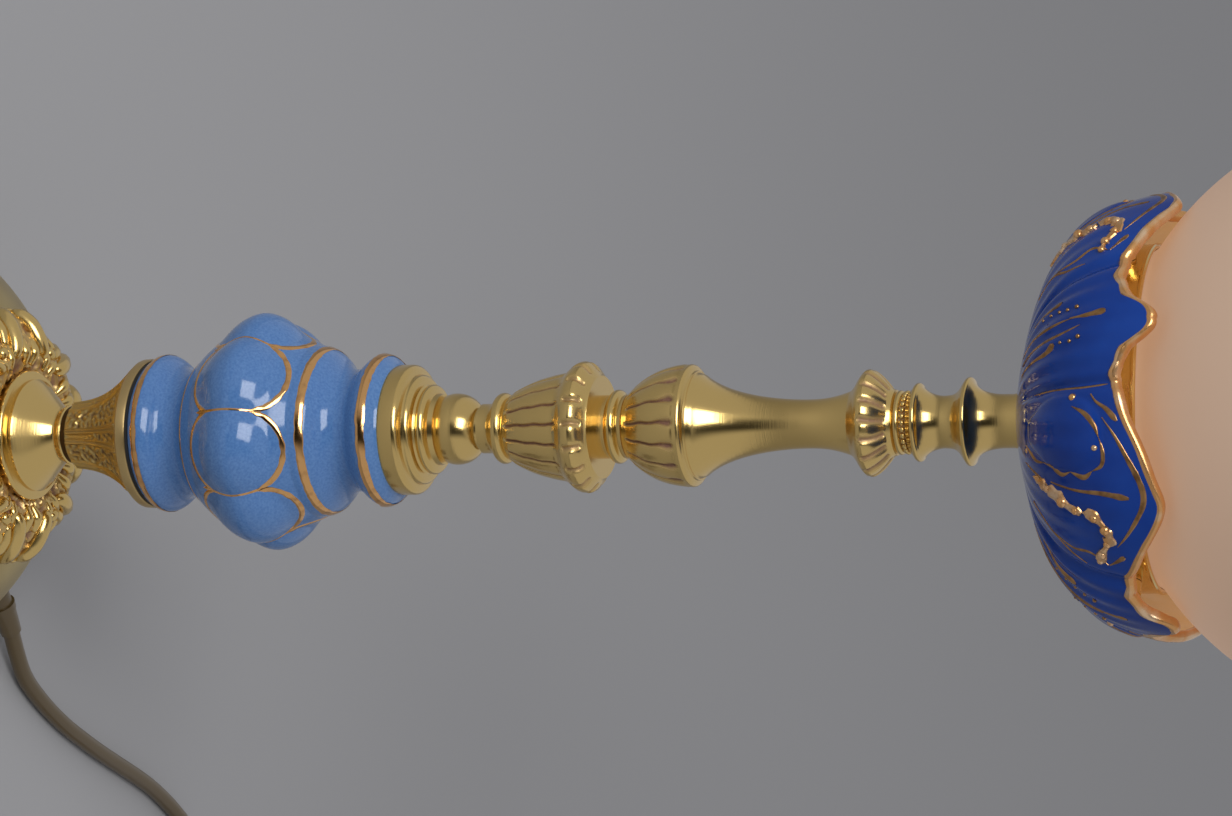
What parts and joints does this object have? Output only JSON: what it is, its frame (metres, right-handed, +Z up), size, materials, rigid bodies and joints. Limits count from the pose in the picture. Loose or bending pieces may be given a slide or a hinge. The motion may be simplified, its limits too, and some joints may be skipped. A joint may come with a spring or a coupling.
{
  "type": "table lamp",
  "caption": "Tall brass table lamp with a lobed light-blue porcelain vase, a cobalt petal cup and a frosted ball globe.",
  "frame": {"origin": "centre of the underside of the round foot, on the table", "axes": "+Z up the column to the globe, -Y towards the front, +X to the right seen from the front; the cord leaves towards +X and +Y"},
  "size_m": [0.383, 0.2943, 0.589],
  "materials": {
    "felt": "matt",
    "brass_spun": "polished",
    "brass_cast": "polished, dark in the recesses",
    "brass_turned": "polished",
    "brass_dark": "tarnished",
    "iron": "rough",
    "steel": "satin",
    "nickel": "bright",
    "white_plastic": "gloss",
    "gold_plastic": "satin",
    "white_ceramic": "glazed",
    "black_rubber": "matt",
    "porcelain_sky": "glazed, with painted gold lines",
    "porcelain_cobalt": "glazed, with painted gold lines and rim",
    "opal_glass": "frosted",
    "bulb_white": "frosted, lit",
    "cord_gold": "satin, twisted sheath"
  },
  "bodies": {
    "stand": {"felt_pad": "felt", "base_foot": "brass_spun", "base_weight": "iron", "base_washer": "steel", "base_nut": "brass_turned", "cord_saddle": "white_plastic", "saddle_screws": "steel", "cord_bush": "cord_gold", "base_ornament": "brass_cast", "foot_spool": "brass_turned", "neck_ring": "brass_dark", "leaf_neck": "brass_cast", "vase_plate": "brass_turned", "vase_gasket": "black_rubber", "vase": "porcelain_sky", "vase_cap": "brass_turned", "ball_knop": "brass_turned", "neck_collar": "brass_turned", "reeded_bell": "brass_cast", "bell_collar": "brass_turned", "reeded_bulb": "brass_cast", "trumpet_stem": "brass_turned", "flower_collar": "brass_cast", "beaded_ring": "brass_cast", "lower_bobbin": "brass_turned", "upper_bobbin": "brass_turned", "petal_cup": "porcelain_cobalt", "cup_washer": "steel", "gallery_spacer": "brass_turned", "gallery": "brass_spun", "gallery_nut": "brass_turned", "threaded_tube": "brass_turned", "inner_cord": "cord_gold", "lampholder_base": "brass_spun", "lampholder_sleeve": "white_plastic", "lampholder_insulator": "white_ceramic", "lampholder_liner": "nickel", "lampholder_contact": "nickel", "cord": "cord_gold", "cord_tail": "cord_gold", "cord_coil": "cord_gold", "cord_ties": "black_rubber", "switch_base": "gold_plastic", "switch_cover": "gold_plastic", "switch_screws": "steel", "plug_body": "gold_plastic", "plug_collar": "gold_plastic", "plug_pins": "nickel"},
    "globe": {"globe": "opal_glass", "globe_neck": "opal_glass"},
    "bulb": {"bulb_cap": "nickel", "bulb_glass": "bulb_white"},
    "screw_1": {"gallery_screw_1": "brass_turned"},
    "screw_2": {"gallery_screw_2": "brass_turned"},
    "screw_3": {"gallery_screw_3": "brass_turned"},
    "rocker": {"switch_rocker": "gold_plastic"}
  },
  "joints": [
    {"name": "globe_lift", "type": "slide", "parent": "stand", "child": "globe", "axis": [0, 0, 1], "range_m": [0, 0.13]},
    {"name": "bulb_turn", "type": "hinge", "parent": "stand", "child": "bulb", "pos_m": [0, 0, 0.44], "axis": [0, 0, 1], "range_deg": [0, 1080]},
    {"name": "screw_1_out", "type": "slide", "parent": "stand", "child": "screw_1", "axis": [0, 1, 0], "range_m": [0, 0.0025]},
    {"name": "screw_2_out", "type": "slide", "parent": "stand", "child": "screw_2", "axis": [-0.866, -0.5, 0], "range_m": [0, 0.0025]},
    {"name": "screw_3_out", "type": "slide", "parent": "stand", "child": "screw_3", "axis": [0.866, -0.5, 0], "range_m": [0, 0.0025]},
    {"name": "rocker_tip", "type": "hinge", "parent": "stand", "child": "rocker", "pos_m": [0.206, 0.136, 0.0135], "axis": [1, 0, 0], "range_deg": [-20, 0]}
  ]
}
